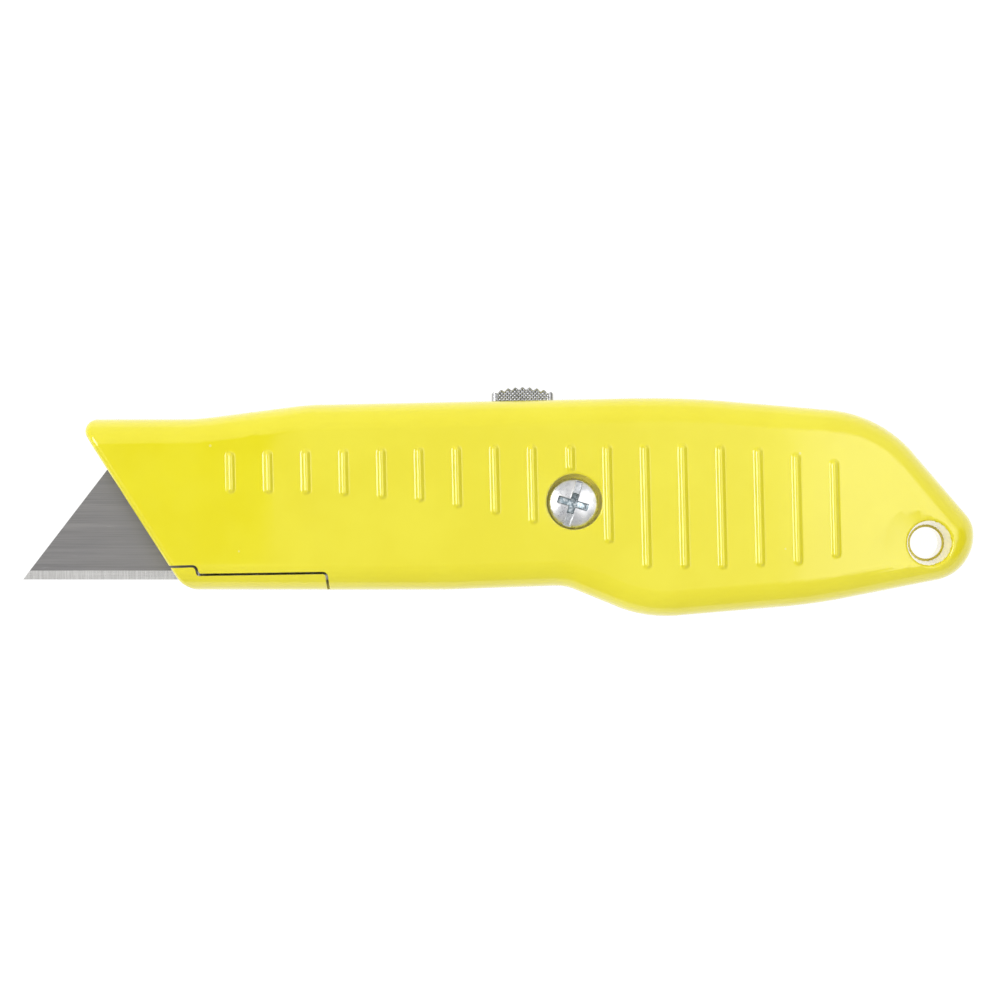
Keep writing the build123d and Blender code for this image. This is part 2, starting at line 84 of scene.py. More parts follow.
# ribs with their cast fillets
RIB_FIRST_X = -56.68
RIB_PITCH = 6.248
RIB_H = 0.453
RIB_HALF = 1.0
RIB_LEAN = 1.4
RIB_TUCK = 0.012  # the fillet's end dips this far into the face
RIB_SINK = 0.12  # and the underside lies this far below it
RIB_TOPS = [8.8, 9.0, 9.2, 9.3, 9.5, 9.6, 9.8, 10.0, 9.9, 10.0, 10.0]
RIB_TOPS += [10.0, 10.1, 9.9, 9.5, 8.6, 7.5]
RIB_FEET = [1.4, 1.3, 1.2, 0.9, 0.4, -0.1, -1.1, -2.2, -3.7, -5.1, -6.9]
RIB_FEET += [-11.1, -11.1, -11.2, -10.8, -10.5, -9.3]
CUT_RIB = 9  # on the cover this rib stops at the rim of the screw's counterbore
CUT_FOOT = 4.95

# clamp screw
HEAD_R = 4.15
HEAD_UNDER = 6.5
HEAD_RIM = 7.8
HEAD_RISE = 0.85
SCREW_TURN = -16.6
SLOT_HALF = 0.53
SLOT_REACH = 3.9
SLOT_DEPTH = 0.75
CROSS_REACH = 2.6
CROSS_DEPTH = 0.95
WELL_DEPTH = 0.75  # how much deeper the cross is at its middle
BURR_H = 0.06
HEAD_ROLL = 0.12  # how far the dome drops over its rolled rim
SHANK_R = 2.0
THREAD_DEPTH = 0.25
THREAD_PITCH = 0.75
SHANK_END = -6.2

# thumb button
BUTTON_X = -8.36
BUTTON_L = 10.3
BUTTON_W = 7.0
BUTTON_TOP = 19.4
BUTTON_FOOT = 15.9
BUTTON_DOME_R = 14.0
BUTTON_CORNER = 0.8
TOOTH_PITCH = 1.2
TOOTH_D = 0.41
TOOTH_FULLNESS = 0.8  # below 1 the teeth are wider than the valleys between them
KNURL_PITCH = 0.62
KNURL_DEPTH = 0.14

# return spring and detent leaf
COIL_FOOT = 7.0
COIL_TOP = 9.0
COIL_R = 0.62
COIL_TURNS = 3.5
WIRE_R = 0.13
LEAF_X = (-5.16, 5.6)
LEAF_Y = 11.7
LEAF_T = 0.4
LEAF_W = 3.7
LEAF_NOSE_X = -2.0
LEAF_NOSE_R = 0.95

# blade
BLADE_EDGE_Y = BLADE_LOW[1]
BEVEL_H = 1.5 * MM
GRIND_BLUR = 0.02 * MM  # half the width over which the ground edge turns into the face


# ---------------------------------------------------------------- shader helpers


class Nodes:
    """Short calls for building one node tree."""

    def __init__(self, tree):
        self.tree = tree

    def add(self, kind, **settings):
        node = self.tree.nodes.new(kind)
        for name, value in settings.items():
            setattr(node, name, value)
        return node

    def put(self, source, target):
        self.tree.links.new(source, target)

    def feed(self, node, slot, value):
        if isinstance(value, (int, float, tuple)):
            node.inputs[slot].default_value = value
        else:
            self.put(value, node.inputs[slot])

    def noise(self, place, scale, detail=4.0, roughness=0.55):
        node = self.add("ShaderNodeTexNoise")
        values = {"Vector": place, "Scale": scale, "Detail": detail, "Roughness": roughness}
        for slot, value in values.items():
            self.feed(node, slot, value)
        return node.outputs["Fac"]

    def stretched(self, place, scale, turn=0.0):
        node = self.add("ShaderNodeMapping")
        node.inputs["Scale"].default_value = scale
        node.inputs["Rotation"].default_value = (0, 0, math.radians(turn))
        self.put(place, node.inputs["Vector"])
        return node.outputs["Vector"]

    def ramp(self, value, low, high, first=0.0, last=1.0, kind="SMOOTHSTEP"):
        node = self.add("ShaderNodeMapRange", interpolation_type=kind)
        for slot, number in enumerate((value, low, high, first, last)):
            self.feed(node, slot, number)
        return node.outputs[0]

    def maths(self, operation, a, b=0.0):
        node = self.add("ShaderNodeMath", operation=operation)
        self.feed(node, 0, a)
        self.feed(node, 1, b)
        return node.outputs[0]

    def dot(self, a, b):
        node = self.add("ShaderNodeVectorMath", operation="DOT_PRODUCT")
        self.feed(node, 0, a)
        self.feed(node, 1, b)
        return node.outputs["Value"]

    def blend(self, amount, a, b, kind="MIX"):
        node = self.add("ShaderNodeMix", data_type="RGBA", blend_type=kind)
        for slot, value in ((0, amount), (6, a), (7, b)):
            self.feed(node, slot, value)
        return node.outputs[2]

    def bump(self, height, strength, distance, normal=None):
        node = self.add("ShaderNodeBump")
        self.feed(node, "Strength", strength)
        self.feed(node, "Distance", distance)
        self.put(height, node.inputs["Height"])
        if normal is not None:
            self.put(normal, node.inputs["Normal"])
        return node.outputs["Normal"]

    def place(self):
        return self.add("ShaderNodeTexCoord").outputs["Object"]

    def across(self, place):
        """The three coordinates of a place."""
        node = self.add("ShaderNodeSeparateXYZ")
        self.put(place, node.inputs[0])
        return node.outputs

    def mark(self, name):
        """A value that a piece's mesh carries at its points."""
        return self.add("ShaderNodeAttribute", attribute_name=name).outputs["Fac"]

    def group(self, tree, **values):
        node = self.add("ShaderNodeGroup", node_tree=tree)
        for name, value in values.items():
            self.feed(node, name.replace("_", " "), value)
        return node.outputs


def new_group(name, inputs, outputs):
    """An empty shader group with named sockets, given as (name, kind, default)."""
    tree = bpy.data.node_groups.new(name, "ShaderNodeTree")
    for label, kind, default in inputs:
        socket = tree.interface.new_socket(label, in_out="INPUT", socket_type=kind)
        if default is not None:
            socket.default_value = default
    for label in outputs:
        tree.interface.new_socket(label, in_out="OUTPUT", socket_type="NodeSocketFloat")
    nodes = Nodes(tree)
    return tree, nodes, nodes.add("NodeGroupInput").outputs, nodes.add("NodeGroupOutput").inputs


def dust_group():
    """Sparse pale specks: small rounds at scattered points of a cell pattern."""
    tree, nodes, given, result = new_group(
        "dust_specks",
        [("Place", "NodeSocketVector", None), ("Cells", "NodeSocketFloat", 400.0),
         ("Share", "NodeSocketFloat", 0.1), ("Size", "NodeSocketFloat", 0.1)],
        ["Mask"],
    )
    cells = nodes.add("ShaderNodeTexVoronoi")
    nodes.put(given["Place"], cells.inputs["Vector"])
    nodes.put(given["Cells"], cells.inputs["Scale"])
    chance = nodes.across(cells.outputs["Color"])[0]
    picked = nodes.maths("LESS_THAN", chance, given["Share"])
    near = nodes.maths("LESS_THAN", cells.outputs["Distance"], given["Size"])
    nodes.put(nodes.maths("MULTIPLY", picked, near), result["Mask"])
    return tree


def edge_group():
    """Rubbed edges: where a rounded-off normal leaves the true one, broken up by a noise."""
    tree, nodes, given, result = new_group(
        "rubbed_edges",
        [("Place", "NodeSocketVector", None), ("Width", "NodeSocketFloat", 0.0002),
         ("Broken", "NodeSocketFloat", 900.0)],
        ["Mask"],
    )
    rounded = nodes.add("ShaderNodeBevel", samples=4)
    nodes.put(given["Width"], rounded.inputs["Radius"])
    sharp = nodes.add("ShaderNodeNewGeometry").outputs["True Normal"]
    likeness = nodes.dot(rounded.outputs["Normal"], sharp)
    edge = nodes.ramp(likeness, 0.99, 0.88)
    broken = nodes.ramp(nodes.noise(given["Place"], given["Broken"], 3.0), 0.35, 0.6, 0.25, 1.0)
    nodes.put(nodes.maths("MULTIPLY", edge, broken), result["Mask"])
    return tree


def grain_group():
    """Brushed grain: long thin noise lines on top of a cloudy tone."""
    tree, nodes, given, result = new_group(
        "brushed_grain",
        [("Lines", "NodeSocketVector", None), ("Place", "NodeSocketVector", None),
         ("Cloud", "NodeSocketFloat", 150.0)],
        ["Grain", "Cloud"],
    )
    nodes.put(nodes.noise(given["Lines"], 1.0, 6.0, 0.7), result["Grain"])
    nodes.put(nodes.noise(given["Place"], given["Cloud"], 3.0), result["Cloud"])
    return tree


DUST = dust_group()
EDGES = edge_group()
GRAIN = grain_group()


def new_material(name, **settings):
    """A material with its helper, its Principled shader and its Object coordinates."""
    material = bpy.data.materials.new(name)
    material.use_nodes = True
    nodes = Nodes(material.node_tree)
    shader = next(n for n in material.node_tree.nodes if n.type == "BSDF_PRINCIPLED")
    for socket, value in settings.items():
        shader.inputs[socket.replace("_", " ")].default_value = value
    return material, nodes, shader, nodes.place()


# ---------------------------------------------------------------- materials


def yellow_enamel():
    """Gloss enamel on a casting: orange peel, a faintly uneven coat, dust nibs and thin edges."""
    material, nodes, shader, place = new_material(
        "yellow_enamel", IOR=1.5, Coat_Weight=1.0, Coat_Roughness=0.05
    )
    tone = nodes.ramp(nodes.noise(place, 70.0, 3.0), 0.35, 0.65)
    colour = nodes.blend(tone, (0.875, 0.777, 0.010, 1), (0.90, 0.808, 0.018, 1))
    specks = nodes.group(DUST, Place=place, Cells=420.0, Share=0.05, Size=0.09)["Mask"]
    colour = nodes.blend(nodes.maths("MULTIPLY", specks, 0.35), colour, (0.95, 0.93, 0.55, 1))
    thin = nodes.group(EDGES, Place=place, Width=0.00025, Broken=1500.0)["Mask"]
    colour = nodes.blend(nodes.maths("MULTIPLY", thin, 0.12), colour, (0.93, 0.88, 0.30, 1))
    nodes.put(colour, shader.inputs["Base Color"])
    smear = nodes.noise(place, 240.0, 5.0)
    nodes.put(nodes.ramp(smear, 0.3, 0.75, 0.09, 0.17), shader.inputs["Roughness"])
    peel = nodes.bump(nodes.noise(place, 1100.0, 2.0), 0.35, 0.00003)
    fine = nodes.bump(nodes.noise(place, 5200.0, 2.0), 0.45, 0.000018, peel)
    nibs = nodes.bump(specks, 0.5, 0.00002, fine)
    nodes.put(nibs, shader.inputs["Normal"])
    return material


def ground_blade():
    """Ground carbon steel: lengthwise lines, stray scratches and a bright crosswise-ground edge."""
    material, nodes, shader, place = new_material("ground_blade", Metallic=1.0)
    lines = nodes.group(
        GRAIN, Lines=nodes.stretched(place, (50.0, 5200.0, 5200.0)), Place=place, Cloud=120.0
    )
    strokes = nodes.noise(nodes.stretched(place, (6500.0, 260.0, 260.0)), 1.0, 4.0, 0.7)
    stray = nodes.noise(nodes.stretched(place, (160.0, 4200.0, 160.0), 63.0), 1.0, 2.0, 0.6)
    height = nodes.across(place)[1]
    grind_line = BLADE_EDGE_Y + BEVEL_H
    bevel = nodes.ramp(height, grind_line + GRIND_BLUR, grind_line - GRIND_BLUR)
    face = nodes.blend(
        nodes.ramp(lines["Grain"], 0.3, 0.7), (0.24, 0.235, 0.232, 1), (0.31, 0.302, 0.298, 1)
    )
    clouded = nodes.maths("MULTIPLY", nodes.ramp(lines["Cloud"], 0.4, 0.7), 0.25)
    face = nodes.blend(clouded, face, (0.25, 0.25, 0.26, 1))
    scratched = nodes.maths("MULTIPLY", nodes.ramp(stray, 0.70, 0.78), 0.5)
    face = nodes.blend(scratched, face, (0.6, 0.6, 0.6, 1))
    edge = nodes.blend(
        nodes.ramp(strokes, 0.35, 0.65), (0.76, 0.75, 0.73, 1), (0.96, 0.95, 0.93, 1)
    )
    worn = nodes.group(EDGES, Place=place, Width=0.00008, Broken=1200.0)["Mask"]
    colour = nodes.blend(bevel, face, edge)
    colour = nodes.blend(nodes.maths("MULTIPLY", worn, 0.3), colour, (0.8, 0.8, 0.8, 1))
    nodes.put(colour, shader.inputs["Base Color"])
    rough = nodes.ramp(lines["Grain"], 0.2, 0.8, 0.34, 0.5)
    rough = nodes.maths("SUBTRACT", rough, nodes.maths("MULTIPLY", bevel, 0.12))
    nodes.put(rough, shader.inputs["Roughness"])
    lengthwise = nodes.maths("MULTIPLY", lines["Grain"], nodes.maths("SUBTRACT", 1.0, bevel))
    grooves = nodes.maths("ADD", lengthwise, nodes.maths("MULTIPLY", strokes, bevel))
    nodes.put(nodes.bump(grooves, 0.35, 0.000012), shader.inputs["Normal"])
    return material


def zinc_plate():
    """Bright zinc plating: cloudy satin, painted shade in the recesses in a dark bluish tone with
    bright flecks as painted reflections, burrs painted near-white as a painted highlight, rubbed
    edges.
    """
    material, nodes, shader, place = new_material("zinc_plate", Metallic=1.0)
    cloud = nodes.noise(place, 700.0, 4.0)
    fleck = nodes.noise(place, 2600.0, 3.0, 0.7)
    # this mark paints shade: the slot and the cross are coloured dark and bluish where shade falls
    # in them, and the bright flecks there are painted reflections
    recess_shade = nodes.mark("recess_shade")
    colour = nodes.blend(
        nodes.ramp(cloud, 0.3, 0.7), (0.62, 0.63, 0.66, 1), (0.84, 0.84, 0.85, 1)
    )
    shade_and_glints = nodes.blend(
        nodes.ramp(fleck, 0.42, 0.72), (0.16, 0.22, 0.25, 1), (0.86, 0.93, 0.96, 1)
    )
    colour = nodes.blend(nodes.maths("MULTIPLY", recess_shade, 0.9), colour, shade_and_glints)
    # painted highlight: the burrs are coloured near-white as a glint, joined with the real rubbed
    # edges
    burr_and_glint = nodes.mark("burr_and_glint")
    worn = nodes.group(EDGES, Place=place, Width=0.0001, Broken=1600.0)["Mask"]
    burr_glint_and_wear = nodes.maths("MAXIMUM", burr_and_glint, nodes.maths("MULTIPLY", worn, 0.6))
    colour = nodes.blend(burr_glint_and_wear, colour, (0.97, 0.95, 0.92, 1))
    nodes.put(colour, shader.inputs["Base Color"])
    nodes.put(nodes.ramp(fleck, 0.2, 0.8, 0.22, 0.42), shader.inputs["Roughness"])
    first = nodes.bump(cloud, 0.3, 0.00003)
    nodes.put(nodes.bump(fleck, 0.35, 0.00002, first), shader.inputs["Normal"])
    return material


def knurled_steel():
    """Pressed bright steel: painted shade darkens the hollows of the teeth and the knurl, leaving
    the tops lighter.
    """
    material, nodes, shader, place = new_material("knurled_steel", Metallic=1.0)
    # this mark paints shade: the hollows between the teeth and the knurl ridges are coloured
    # near-black where shade falls, and the tops are lighter
    unshaded_tops = nodes.mark("unshaded_tops")
    fleck = nodes.noise(place, 3000.0, 4.0, 0.65)
    level = nodes.maths(
        "ADD", nodes.maths("MULTIPLY", unshaded_tops, 0.7), nodes.maths("MULTIPLY", fleck, 0.6)
    )
    colour = nodes.blend(
        nodes.ramp(level, 0.35, 1.0), (0.06, 0.065, 0.07, 1), (0.50, 0.50, 0.51, 1)
    )
    worn = nodes.group(EDGES, Place=place, Width=0.0001, Broken=1600.0)["Mask"]
    colour = nodes.blend(nodes.maths("MULTIPLY", worn, 0.5), colour, (0.95, 0.95, 0.95, 1))
    nodes.put(colour, shader.inputs["Base Color"])
    nodes.put(nodes.ramp(level, 0.2, 0.9, 0.45, 0.22), shader.inputs["Roughness"])
    nodes.put(nodes.bump(fleck, 0.4, 0.00003), shader.inputs["Normal"])
    return material


def sheet_metal(name, dark, light, roughness, lines):
    """Rolled or pressed metal with a brushed grain along X, handling marks and rubbed edges."""
    material, nodes, shader, place = new_material(name, Metallic=1.0)
    grain = nodes.group(
        GRAIN, Lines=nodes.stretched(place, (lines * 0.03, lines, lines)), Place=place, Cloud=260.0
    )
    colour = nodes.blend(nodes.ramp(grain["Grain"], 0.3, 0.7), dark, light)
    stain = nodes.maths("MULTIPLY", nodes.ramp(grain["Cloud"], 0.45, 0.75), 0.3)
    colour = nodes.blend(stain, colour, tuple(c * 0.7 for c in dark[:3]) + (1,))
    worn = nodes.group(EDGES, Place=place, Width=0.0001, Broken=1400.0)["Mask"]
    bright = tuple(min(c * 1.35, 0.95) for c in light[:3]) + (1,)
    colour = nodes.blend(nodes.maths("MULTIPLY", worn, 0.6), colour, bright)
    nodes.put(colour, shader.inputs["Base Color"])
    rough = nodes.ramp(grain["Grain"], 0.2, 0.8, roughness * 0.7, roughness * 1.3)
    nodes.put(rough, shader.inputs["Roughness"])
    nodes.put(nodes.bump(grain["Grain"], 0.3, 0.00001), shader.inputs["Normal"])
    return material


ENAMEL = yellow_enamel()
BLADE_STEEL = ground_blade()
ZINC = zinc_plate()
KNURLED = knurled_steel()
BRIGHT = sheet_metal(
    "bright_pin_steel", dark=(0.55, 0.55, 0.56, 1), light=(0.74, 0.74, 0.75, 1),
    roughness=0.28, lines=2600.0,
)
CARRIER = sheet_metal(
    "carrier_casting", dark=(0.36, 0.37, 0.38, 1), light=(0.52, 0.53, 0.55, 1),
    roughness=0.4, lines=1600.0,
)
SPRING = sheet_metal(
    "blued_spring_steel", dark=(0.17, 0.19, 0.23, 1), light=(0.30, 0.32, 0.37, 1),
    roughness=0.3, lines=3000.0,
)

SLOT_MATERIALS = {
    "yellow_paint": ENAMEL, "blade_steel": BLADE_STEEL, "zinc_plate": ZINC,
    "bright_steel": BRIGHT, "carrier_steel": CARRIER, "spring_steel": SPRING,
}


def dress(node, material):
    """Gives a CAD node one material."""
    mesh = frame["nodes"][node].data
    mesh.materials.clear()
    mesh.materials.append(material)


def soften(node, angle):
    """Merges the node's facets for shading, keeps its creases and evens its normals."""
    piece = frame["nodes"][node]
    weld = piece.modifiers.new("weld", "WELD")
    weld.merge_threshold = 0.000001
    split = piece.modifiers.new("creases", "EDGE_SPLIT")
    split.split_angle = math.radians(angle)
    even = piece.modifiers.new("even_normals", "WEIGHTED_NORMAL")
    even.weight = 100
    piece.data.polygons.foreach_set("use_smooth", [True] * len(piece.data.polygons))


# ---------------------------------------------------------------- pieces


def quads(rows, cols, wrap, first):
    """Corner numbers of a grid's faces, row by row, joined round its columns when wrap is set."""
    number = first + np.arange(rows * cols).reshape(rows, cols)
    if wrap:
        number = np.hstack([number, number[:, :1]])
    corners = [number[:-1, :-1], number[:-1, 1:], number[1:, 1:], number[1:, :-1]]
    return np.stack(corners, axis=-1).reshape(-1, 4)


def make_piece(name, sheets, material, body, marks=None):
    """One closed piece from sheets of points (rows x cols x 3, mm about the screw's axis).

    Points that meet are merged, so each sheet's rim closes on its neighbour's, and the faces
    are then turned outwards. marks holds a value for each point, kept as a mesh attribute. A
    piece without a body is left unattached.
    """
    points, faces, first = [], [], 0
    for sheet, wrap in sheets:
        rows, cols = sheet.shape[:2]
        points.append(sheet.reshape(-1, 3))
        faces.append(quads(rows, cols, wrap, first))
        first += rows * cols
    mesh = bpy.data.meshes.new(name)
    mesh.from_pydata(AXIS + np.vstack(points) * MM, [], np.vstack(faces).tolist())
    for label, values in (marks or {}).items():
        flat = np.concatenate([value.reshape(-1) for value in values]).astype(np.float32)
        mesh.attributes.new(label, "FLOAT", "POINT").data.foreach_set("value", flat)
    shell = bmesh.new()
    shell.from_mesh(mesh)
    bmesh.ops.remove_doubles(shell, verts=shell.verts, dist=0.000002)
    bmesh.ops.dissolve_degenerate(shell, dist=0.0000001, edges=shell.edges)
    bmesh.ops.recalc_face_normals(shell, faces=shell.faces)
    shell.to_mesh(mesh)
    shell.free()
    mesh.materials.append(material)
    mesh.polygons.foreach_set("use_smooth", [True] * len(mesh.polygons))
    piece = bpy.data.objects.new(name, mesh)
    bpy.context.scene.collection.objects.link(piece)
    if body:
        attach(piece, body)
    return piece


def step(value, low, high):
    """0 below low, 1 above high and a smooth S between."""
    t = np.clip((value - low) / (high - low), 0.0, 1.0)
    return t * t * (3.0 - 2.0 * t)


def crown(x):
    """Height of the handle's face: level, with sloping ends that an arc of CROWN_R blends in."""
    nose = x < (NOSE_BREAK + TAIL_BREAK) / 2
    slope = np.where(nose, NOSE_SLOPE, TAIL_SLOPE)
    distance = np.where(nose, NOSE_BREAK - x, x - TAIL_BREAK)
    lean = np.arctan(slope)
    start = distance + CROWN_R * np.tan(lean / 2)
    arc = HALF - CROWN_R + np.sqrt(CROWN_R**2 - np.clip(start, 0, CROWN_R * np.sin(lean)) ** 2)
    return np.where(start < CROWN_R * np.sin(lean), arc, HALF - slope * distance)


def rib_sheets(x, foot, top, side):
    """One rib and its cast fillets.

    A loop runs round the rib's spine: down one side, half round the foot, up the other side and
    half round the top. Rows of the same loop go from the spine out to the fillet's end. The
    height over the face falls with the distance from the spine along two equal arcs, convex
    on the crest and hollow at the foot. The underside is the same loop sunk into the face.
    """
    half_length = (top - foot) / 2 - RIB_HALF
    bend = 2 * math.atan(RIB_H / RIB_HALF)
    radius = RIB_HALF / 2 / math.sin(bend)
    turn = np.linspace(0, math.pi, 15)
    along = np.linspace(1, -1, max(int(half_length * 1.5), 4))[1:-1] * half_length
    spine = np.concatenate([
        along, np.full(turn.size, -half_length), -along, np.full(turn.size, half_length)
    ])
    heading = np.concatenate([
        np.full(along.size, 0.0), -turn, np.full(along.size, math.pi), math.pi - turn
    ])
    out = np.linspace(0, 1, 17)[:, None] * RIB_HALF
    local_x = out * np.cos(heading)
    local_y = spine + out * np.sin(heading)
    lean = math.radians(RIB_LEAN)
    px = x + local_x * math.cos(lean) - local_y * math.sin(lean)
    py = (top + foot) / 2 + local_x * math.sin(lean) + local_y * math.cos(lean)
    crest = RIB_H - radius + np.sqrt(radius**2 - np.minimum(out, RIB_HALF / 2) ** 2)
    hollow = radius - np.sqrt(radius**2 - (RIB_HALF - np.maximum(out, RIB_HALF / 2)) ** 2)
    height = np.where(out < RIB_HALF / 2, crest, hollow) - RIB_TUCK * (out / RIB_HALF) ** 8
    centre = crown(np.array(x))
    face = centre + (crown(px) - centre) * (out / RIB_HALF) ** 2
    surface = np.stack([px, py, side * (face + height)], axis=-1)
    under = surface[-1:] - np.array([0, 0, side * RIB_SINK])
    level = np.full(spine.size, under[0, :, 2].mean())
    middle = np.stack([x - spine * math.sin(lean), py[0], level], axis=-1)
    return [(surface, True), (np.concatenate([surface[-1:], under, middle[None]]), True)]


def ribs(name, body, side):
    """All the ribs of one face as one piece."""
    sheets = []
    for number, (foot, top) in enumerate(zip(RIB_FEET, RIB_TOPS)):
        if side > 0 and number == CUT_RIB:
            foot = CUT_FOOT
        sheets += rib_sheets(RIB_FIRST_X + number * RIB_PITCH, foot, top, side)
    make_piece(name, sheets, ENAMEL, body)


def screw_head():
    """The stamped head: a dome with a full-width slot and a tapering cross recess.

    Rings of points from the axis to the rim lie on a sphere cap. The slot and the cross lower
    them by steps across their walls, the cross deeper towards the middle, and a thin burr
    stands along one side of the slot, coloured near-white as a painted highlight. The side
    wall rolls over into a flat underside.
    """
    ring = np.linspace(0, 1, 96)[:, None]
    angle = np.linspace(0, 2 * math.pi, 361)[:-1][None, :]
    edge = HEAD_R - 0.02
    radius = ring * edge
    x, y = radius * np.cos(angle), radius * np.sin(angle)
    turn = math.radians(SCREW_TURN)
    across = x * math.cos(turn) + y * math.sin(turn)
    along = -x * math.sin(turn) + y * math.cos(turn)
    dome = (HEAD_R**2 + HEAD_RISE**2) / (2 * HEAD_RISE)
    z = HEAD_RIM + HEAD_RISE - dome + np.sqrt(dome**2 - radius**2)
    z = z - HEAD_ROLL * step(radius, edge - 0.25, edge)
    in_slot = step(-np.abs(across), -SLOT_HALF - 0.08, -SLOT_HALF + 0.06)
    in_slot = in_slot * step(-np.abs(along), -SLOT_REACH, -SLOT_REACH + 0.3)
    in_cross = step(-np.abs(along), -SLOT_HALF - 0.08, -SLOT_HALF + 0.06)
    in_cross = in_cross * step(-np.abs(across), -CROSS_REACH - 0.05, -CROSS_REACH + 0.25)
    middle = np.sqrt(across**2 + along**2)
    well = step(-middle, -CROSS_REACH, -0.2)
    core = step(-np.abs(along), -1.9, -1.6) * in_slot
    depth = SLOT_DEPTH * in_slot * (1 - 0.25 * step(np.abs(along), 2.2, 3.8))
    depth = np.maximum(depth, (CROSS_DEPTH + WELL_DEPTH * well) * np.maximum(in_cross, core))
    slot_burr = np.exp(-((across + SLOT_HALF + 0.10) / 0.07) ** 2)
    slot_burr = slot_burr * step(along, 0.7, 1.1) * step(-along, -3.7, -3.2)
    cross_burr = 0.7 * np.exp(-((along - SLOT_HALF - 0.1) / 0.08) ** 2)
    cross_burr = cross_burr * step(-across, 0.6, 0.9) * step(across, -2.5, -2.1)
    # the burrs are raised on the head, and the same mask paints them near-white in the zinc as a
    # painted highlight
    burr_and_glint = slot_burr + cross_burr
    z = z - depth + BURR_H * burr_and_glint
    top = np.stack([x, y, z], axis=-1)
    # how much painted shade the zinc gets in the slot and the cross, most in the cross and its
    # middle
    recess_shade = np.clip(np.maximum(in_cross, core) + 0.30 * in_slot, 0, 1)
    rim_z = z[-1:]
    circle = np.stack([np.cos(angle), np.sin(angle)], axis=-1)
    wall = []
    for grow, level in ((0.0, None), (0.013, -0.03), (0.02, -0.08)):
        height = rim_z if level is None else np.minimum(rim_z, HEAD_RIM) + level
        wall.append(np.concatenate([circle * (edge + grow), height[..., None]], axis=-1))
    underside = ((HEAD_R, HEAD_UNDER + 0.06), (HEAD_R - 0.06, HEAD_UNDER), (0.0, HEAD_UNDER))
    for reach, height in underside:
        level = np.full_like(rim_z, height)
        wall.append(np.concatenate([circle * reach, level[..., None]], axis=-1))
    side = np.concatenate(wall)
    plain = np.zeros(side.shape[:2])
    marks = {"recess_shade": [recess_shade, plain], "burr_and_glint": [np.clip(burr_and_glint, 0, 1), plain]}
    sheets = [(top, True), (side, True)]
    head = make_piece("screw_head", sheets, ZINC, "screw", marks)
    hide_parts("clamp_screw")


def screw_shank():
    """The shank: smooth under the head, then a rolled helical thread, narrowed at its tip.

    Its radius is a function of height and angle: the thread is a triangle wave of the height
    less one pitch for each turn of the angle, fading out at both of its ends.
    """
    z = np.linspace(HEAD_UNDER, SHANK_END, 330)[:, None]
    angle = np.linspace(0, 2 * math.pi, 49)[:-1][None, :]
    phase = (z - THREAD_PITCH * angle / (2 * math.pi)) / THREAD_PITCH
    wave = np.abs(2 * (phase - np.floor(phase)) - 1)
    root = SHANK_R - THREAD_DEPTH
    fade = step(-z, 0.5, 1.0) * step(z, SHANK_END + 0.1, SHANK_END + 0.7)
    thread = root + THREAD_DEPTH * wave * fade
    smooth = step(z, 0.95, 1.05)
    radius = thread * (1 - smooth) + SHANK_R * smooth
    radius = radius - 0.3 * step(-z, -SHANK_END - 0.3, -SHANK_END)
    surface = np.stack([radius * np.cos(angle), radius * np.sin(angle), z + 0 * angle], axis=-1)
    caps = [surface[:1] * [0, 0, 1], surface, surface[-1:] * [0, 0, 1]]
    make_piece("screw_shank", [(np.concatenate(caps), True)], ZINC, "screw")


def button_top(x):
    """Height of the button's top and how near a tooth's crest it is.

    The top is an arc along the button's length, cut by a cosine wave raised to a power.
    """
    arc = BUTTON_TOP - BUTTON_DOME_R + np.sqrt(BUTTON_DOME_R**2 - x**2)
    tooth = (0.5 + 0.5 * np.cos(2 * math.pi * x / TOOTH_PITCH)) ** TOOTH_FULLNESS
    return arc - TOOTH_D * (1 - tooth), tooth


